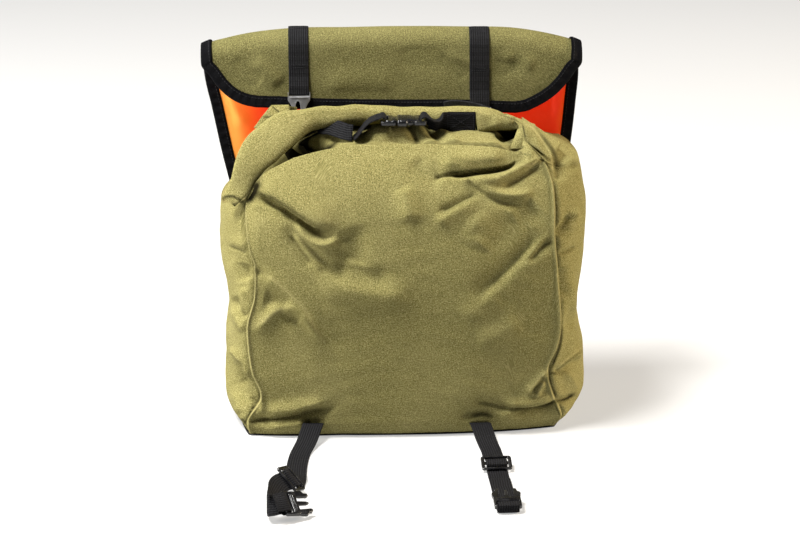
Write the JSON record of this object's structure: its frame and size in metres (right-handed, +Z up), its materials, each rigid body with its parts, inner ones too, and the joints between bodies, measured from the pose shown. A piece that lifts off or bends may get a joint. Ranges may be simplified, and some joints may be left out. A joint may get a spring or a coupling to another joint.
{
  "type": "bicycle front bag",
  "caption": "Soft canvas front bag for a bicycle, standing on its base, with a rolled top held by a buckle, a strapped lid with a bright lining, and loose straps at its foot.",
  "frame": {"origin": "on the floor under the middle of the base, on the underside of the base panel", "axes": "+Z up, -Y the front of the bag, +Y its flat back, +X to the right seen from the front"},
  "size_m": [0.3803, 0.3743, 0.3736],
  "materials": {
    "olive_canvas": "matt plain-woven coated canvas",
    "orange_lining": "bright coated nylon with a soft sheen",
    "black_webbing": "ribbed webbing and woven binding tape",
    "black_base": "heavy coated cloth",
    "black_plastic": "moulded, slightly glossy",
    "grey_plastic": "moulded, satin"
  },
  "bodies": {
    "root": {"front_panel": "olive_canvas", "side_panel_left": "olive_canvas", "side_panel_right": "olive_canvas", "back_panel": "olive_canvas", "collar": "olive_canvas", "rolled_collar": "olive_canvas", "lid_outer": "olive_canvas", "lid_lining": "orange_lining", "base_panel": "black_base", "lid_binding": "black_webbing", "lid_strap_left": "black_webbing", "lid_strap_right": "black_webbing", "base_strap_left": "black_webbing", "base_strap_right": "black_webbing", "collar_tab_left": "black_webbing", "collar_tab_right": "black_webbing", "collar_buckle_socket": "black_plastic", "collar_buckle_prongs": "black_plastic", "strap_slider_left": "black_plastic", "strap_slider_right": "black_plastic", "strap_buckle_left": "black_plastic", "strap_buckle_right": "black_plastic", "lid_buckle_left": "grey_plastic", "lid_buckle_right": "grey_plastic"}
  },
  "joints": []
}
